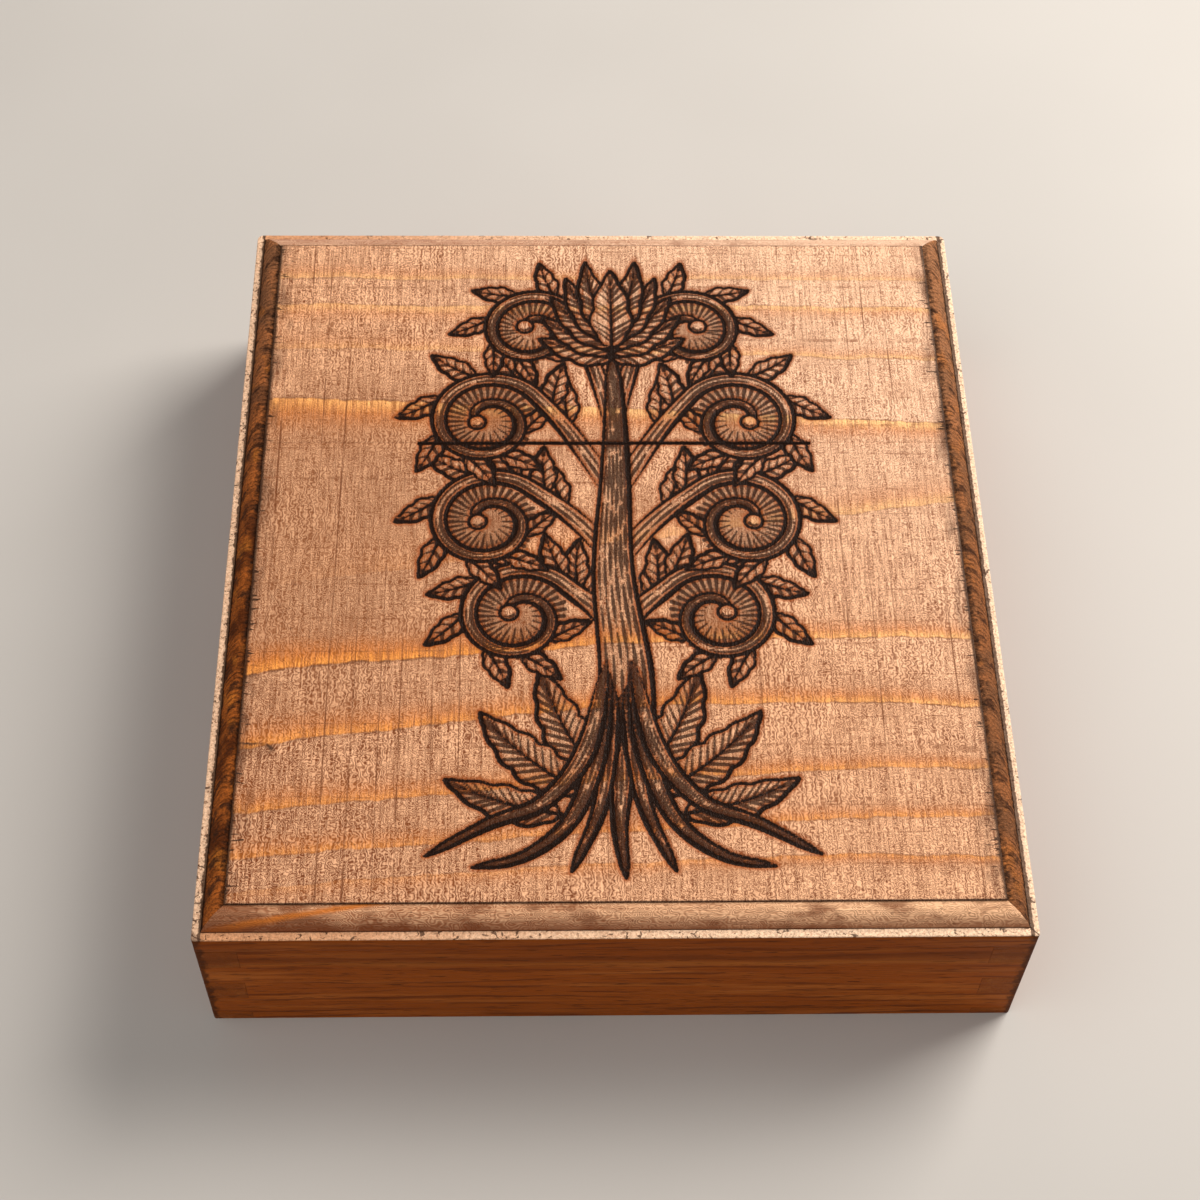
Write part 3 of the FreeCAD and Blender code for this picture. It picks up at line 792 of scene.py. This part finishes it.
    line = finish.node("Attribute", {"attribute_name": "line"}, {}, "Fac")
    hatch = finish.node("Attribute", {"attribute_name": "hatch"}, {}, "Fac")
    tone = finish.node("Attribute", {"attribute_name": "tone"}, {}, "Fac")
    rag = finish.noise((0.7, 0.7, 0.7), 3, 0.65, shift=(7, 7, 1)) * 0.56 - 0.28
    scorch = finish.rise(line + rag, 0.95, 0.0)
    char = finish.rise(tone * (0.62 + cloud * 0.5 + worm * 0.20 + rag * 0.9), 0.02, 0.62)
    colour = finish.over(colour, char * 0.72, (0.150, 0.042, 0.011))
    colour = finish.over(colour, scorch * 0.75, (0.300, 0.062, 0.008))
    etched = finish.rise(hatch + rag * 0.8, 0.23, -0.05)
    colour = finish.over(colour, etched * 0.88, (0.022, 0.0060, 0.0020))
    burnt = finish.rise(line + rag, 0.16, -0.12)
    colour = finish.over(colour, burnt, (0.0110, 0.0034, 0.0012))
    height = worm * 0.060 + fibre * 0.030 + weft * 0.012 - scored * 0.05 - speckle * 0.05
    roughness = 0.42 + worm * 0.16 + burnt * 0.05
    return finish.apply(colour, roughness, height, Specular_IOR_Level=0.08)


def long_bead_finish():
    """The front and back beads: long grain, light on top and darker at the foot in painted shade, and
    lighter towards the right in painted light.
    """
    finish = Finish("lid bead long grain")
    x = finish.axis("X")
    y = finish.axis("Y")
    z = finish.axis("Z")
    fibre = finish.rise(finish.noise((14, 0.3, 0.3), 3, 0.6), 0.34, 0.66)
    streak = finish.noise((30, 1.4, 1.4), 3, 0.55, shift=(2, 3, 3))
    patch = finish.noise((13, 8, 8), 3, 0.6, shift=(5, 1, 0))
    worm = finish.waves(finish.noise((3.6, 2.0, 2.0), 1, 0.5) * 14.0 + x * 0.2)
    speckle = finish.rise(finish.noise((1.1, 0.6, 0.6), 1, 0.5, shift=(5, 5, 5)), 0.66, 0.74)
    # Painted light: the term in x makes the bead lighter towards the right.
    light = worm * 0.40 + fibre * 0.24 + streak * 0.30 + finish.rise(x, -40.0, 70.0) * 0.42 - 0.05
    rear = finish.rise(y, 0.0, 1.0)
    palest = finish.over((1.0, 0.585, 0.335), rear, (0.830, 0.545, 0.375))
    colour = finish.over((0.280, 0.078, 0.022), light, palest)
    dark_patch = finish.rise(patch - x * 0.0006, 0.46, 0.62) * (0.75 - rear * 0.35)
    colour = finish.over(colour, dark_patch, (0.190, 0.052, 0.015))
    # An amber streak climbs the front bead from its left end.
    streak_foot, streak_start, slope = -88.4, -72.0, 0.155
    climb = abs(y - streak_foot - (x - streak_start) * slope - patch * 1.2)
    colour = finish.over(colour, finish.rise(climb, 0.95, 0.05) * 0.90, (0.600, 0.170, 0.022))
    # Painted shade: the bead darkens towards its foot, where its curve turns away from the light.
    foot = finish.rise(z + patch * 1.6 + worm * 0.5, LEDGE + 3.6, LEDGE + 1.3)
    colour = finish.over(colour, foot * 0.62, (0.240, 0.054, 0.013))
    colour = finish.over(colour, speckle * 0.40, (0.150, 0.055, 0.025))
    line = finish.rise(z, LEDGE + 0.36, LEDGE + 0.04)
    colour = finish.over(colour, line * 0.80, (0.060, 0.022, 0.010))
    height = worm * 0.05 + fibre * 0.05 - speckle * 0.04
    return finish.apply(colour, 0.40 + worm * 0.16, height, Specular_IOR_Level=0.12)


def end_bead_finish():
    """The side beads: dark end grain with curved ring marks, blackened at the foot and the top."""
    finish = Finish("lid bead end grain")
    x = finish.axis("X")
    y = finish.axis("Y")
    z = finish.axis("Z")
    wander = finish.noise((4, 4, 4), 3, 0.6) * 2.4
    middle, half_width = 75.4, 1.7
    bowed = ((abs(x) - middle) / half_width) ** 2 * 0.9
    broken = finish.rise(finish.noise((2, 2, 2), 2, 0.5, shift=(3, 3, 3)), 0.30, 0.55)
    mark = finish.rise(finish.waves((y + bowed + wander) / 1.2), 0.50, 0.95) * broken
    patch = finish.noise((7, 9, 7), 3, 0.6, shift=(3, 0, 2))
    amber = finish.rise(finish.noise((6, 7, 6), 3, 0.6, shift=(9, 4, 2)), 0.54, 0.68)
    grit = finish.rise(finish.noise((0.45, 0.35, 0.45), 3, 0.7), 0.3, 0.7)
    ragged = finish.noise((1.2, 0.9, 1.2), 3, 0.6, shift=(1, 6, 6)) * 1.5
    colour = finish.over((0.100, 0.024, 0.005), finish.rise(patch, 0.40, 0.60), (0.335, 0.088, 0.015))
    right = finish.rise(x, -1.0, 1.0)
    colour = finish.over(colour, right * 0.62, (0.220, 0.098, 0.044))
    colour = finish.over(colour, finish.rise(y, -10.0, REAR_EDGE) * 0.48, (0.430, 0.195, 0.092))
    colour = finish.over(colour, amber * (0.66 - right * 0.34), (0.480, 0.150, 0.022))
    arch = finish.rise(finish.waves((y + bowed * 1.4 + wander * 2.6) / 5.5), 0.52, 0.95)
    blotch = finish.rise(finish.noise((3, 3.6, 3), 3, 0.6, shift=(7, 2, 5)), 0.44, 0.60)
    colour = finish.over(colour, arch * blotch * 0.85, (0.046, 0.017, 0.008))
    colour = finish.over(colour, mark * (0.30 + blotch * 0.36), (0.040, 0.014, 0.006))
    foot = finish.rise(z + ragged, LEDGE + 1.6, LEDGE + 1.1)
    crest = finish.rise(z + ragged * 0.4, FIELD - 0.3, FIELD)
    colour = finish.over(colour, foot * 0.88, (0.013, 0.006, 0.003))
    colour = finish.over(colour, crest * 0.85, (0.014, 0.007, 0.004))
    colour = finish.shade(colour, 0.62 + grit * 0.86)
    height = grit * 0.11 - mark * 0.10
    return finish.apply(colour, 0.55 + grit * 0.2, height, Specular_IOR_Level=0.05)


def ledge_finish():
    """The ledge: pale where the stain was rubbed off and paler towards the right in painted light,
    with dark pores and small notches.
    """
    finish = Finish("lid ledge")
    x = finish.axis("X")
    y = finish.axis("Y")
    patch = finish.noise((6, 6, 6), 3, 0.6)
    speckle = finish.rise(finish.noise((0.8, 0.8, 0.8), 2, 0.6, 0.6), 0.58, 0.70)
    notch = finish.rise(finish.noise((1.5, 1.5, 1.5), 2, 0.6, 1.0, shift=(3, 8, 1)), 0.61, 0.68)
    grit = finish.rise(finish.noise((0.4, 0.4, 0.4), 3, 0.6), 0.3, 0.7)
    stripe = finish.rise(finish.noise((0.55, 0.55, 9), 1, 0.5, shift=(1, 1, 1)), 0.48, 0.68)
    bead_foot = HALF_WIDTH - LEDGE_WIDTH
    left = finish.rise(x, 0.1 - bead_foot, -0.1 - bead_foot)
    # Painted light: the ledge turns paler towards the right; the pale left ledge is its own rubbed
    # colour.
    pale = finish.rise(x + patch * 60.0 - 30.0, -80.0, 40.0).most(left * (0.45 + patch * 0.5))
    colour = finish.over((0.620, 0.300, 0.150), pale, (0.960, 0.670, 0.460))
    colour = finish.over(colour, stripe * 0.45, (0.420, 0.170, 0.075))
    colour = finish.over(colour, speckle * (0.55 + left * 0.25), (0.170, 0.066, 0.030))
    colour = finish.over(colour, notch * 0.85, (0.070, 0.026, 0.012))
    right = finish.rise(x, -1.0, 1.0)
    ragged = finish.noise((1.0, 1.0, 1.0), 3, 0.6, shift=(1, 6, 6)) * (0.8 + left * 0.7)
    ragged = ragged + right * 0.35 - left * 0.22
    from_bead = abs(x) - bead_foot
    stained = finish.rise(from_bead, -0.06, -0.02) * finish.rise(from_bead - ragged, 0.05, -0.15)
    colour = finish.over(colour, stained * 0.9, (0.090, 0.038, 0.018))
    mitre = finish.rise(abs(HALF_WIDTH - x - (y + HALF_DEPTH)), 0.30, 0.10) * finish.rise(x, 0.0, 1.0)
    front_left = -HALF_WIDTH - HALF_DEPTH
    corner = finish.rise(x + y, front_left + 2.8, front_left + 1.6)
    colour = finish.over(colour, mitre.most(corner * 0.75) * 0.85, (0.060, 0.026, 0.015))
    colour = finish.shade(colour, 0.76 + grit * 0.42)
    height = grit * 0.05 - speckle * 0.06 - notch * 0.14
    return finish.apply(colour, 0.45 + grit * 0.15, height, Specular_IOR_Level=0.15)


# One finish for each zone, from ON_FIELD to ON_END_EDGE.
lid_finishes = (
    field_finish(),
    long_bead_finish(),
    end_bead_finish(),
    ledge_finish(),
    wall_long_x,
    wall_ends_x,
)
for name, front, rear, node in (
    ("front_board_routed", FRONT_EDGE, SEAM, "lid_front_board"),
    ("rear_board_routed", SEAM, REAR_EDGE, "lid_rear_board"),
):
    piece = board(name, front, rear, lid_finishes)
    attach(piece, "lid")
    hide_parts(node)


# The runners and the rear batten
# Beech strips screwed under the lid boards. The runners' tongues slide in grooves in the side
# walls and are only waxed. The batten holds the boards level and is stained like the walls.

early_beech, late_beech = (0.52, 0.27, 0.135), (0.34, 0.145, 0.062)
runner_beech = pale_finish("runner waxed beech", "Y", early_beech, late_beech, 9.0, 0.70)
for node, wood, grain in (
    ("left_runner", runner_beech, 1),
    ("right_runner", runner_beech, 1),
    ("rear_batten", wall_long_x, 0),
):
    piece = eased_copy(node, STRIP_EASE, (wood, wood), grain)
    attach(piece, "lid")
    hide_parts(node)


# The screws
# Small slotted countersunk brass screws, driven up through the runners and the batten into
# the lid boards, their heads flush with the wood and a little dulled.

finish = Finish("dulled brass")
tarnish = finish.rise(finish.noise((1.2, 1.2, 1.2), 3, 0.6), 0.4, 0.7)
turned = finish.noise((0.25, 0.25, 2.0), 2, 0.5)
brass = finish.over((0.62, 0.42, 0.14), tarnish, (0.40, 0.24, 0.075))
screw_brass = finish.apply(brass, 0.28 + turned * 0.22, turned * 0.02, Metallic=1.0)
for node in ("left_runner_screws", "right_runner_screws", "batten_screws"):
    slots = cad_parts[node].data.materials
    slots.clear()
    slots.append(screw_brass)


# The room
# A plain pale floor that the box stands on, a large soft lamp behind it on the right, a
# weaker one overhead on the left, and the camera at the photograph's angle.

bpy.ops.mesh.primitive_plane_add(size=6, location=(0, 0, 0))
floor = bpy.context.object
floor.name = "floor"
finish = Finish("pale floor")
speckle = finish.noise((90, 90, 90), 2, 0.5)
pale = finish.over((0.50, 0.475, 0.45), finish.rise(speckle, 0.3, 0.7), (0.52, 0.495, 0.47))
floor.data.materials.append(finish.apply(pale, 0.6 + speckle * 0.05))

for name, size, power, tint, stand in (
    ("window", 0.8, 25.0, (1.0, 0.95, 0.88), (0.80, 0.60, 0.82)),
    ("overhead", 1.2, 7.0, (1.0, 0.96, 0.92), (-0.62, -0.40, 1.00)),
):
    light = bpy.data.lights.new(name, "AREA")
    light.size = size
    light.energy = power
    light.color = tint
    lamp = bpy.data.objects.new(name, light)
    lamp.location = stand
    aim = Vector((0, 0, 0.03)) - Vector(stand)
    lamp.rotation_euler = aim.to_track_quat("-Z", "Y").to_euler()
    bpy.context.scene.collection.objects.link(lamp)
world = bpy.data.worlds.new("room")
world.use_nodes = True
world.node_tree.nodes["Background"].inputs["Color"].default_value = (0.85, 0.83, 0.80, 1)
world.node_tree.nodes["Background"].inputs["Strength"].default_value = 0.22
bpy.context.scene.world = world

lens = bpy.data.cameras.new("camera")
lens.lens = 67.08
lens.sensor_width = 36.0
camera = bpy.data.objects.new("camera", lens)
camera.location = (-0.01311, -0.27408, 0.41869)
camera.rotation_euler = tuple(math.radians(turn) for turn in (34.278, -1.040, -0.895))
bpy.context.scene.collection.objects.link(camera)
bpy.context.scene.camera = camera
bpy.context.scene.view_settings.view_transform = "Standard"
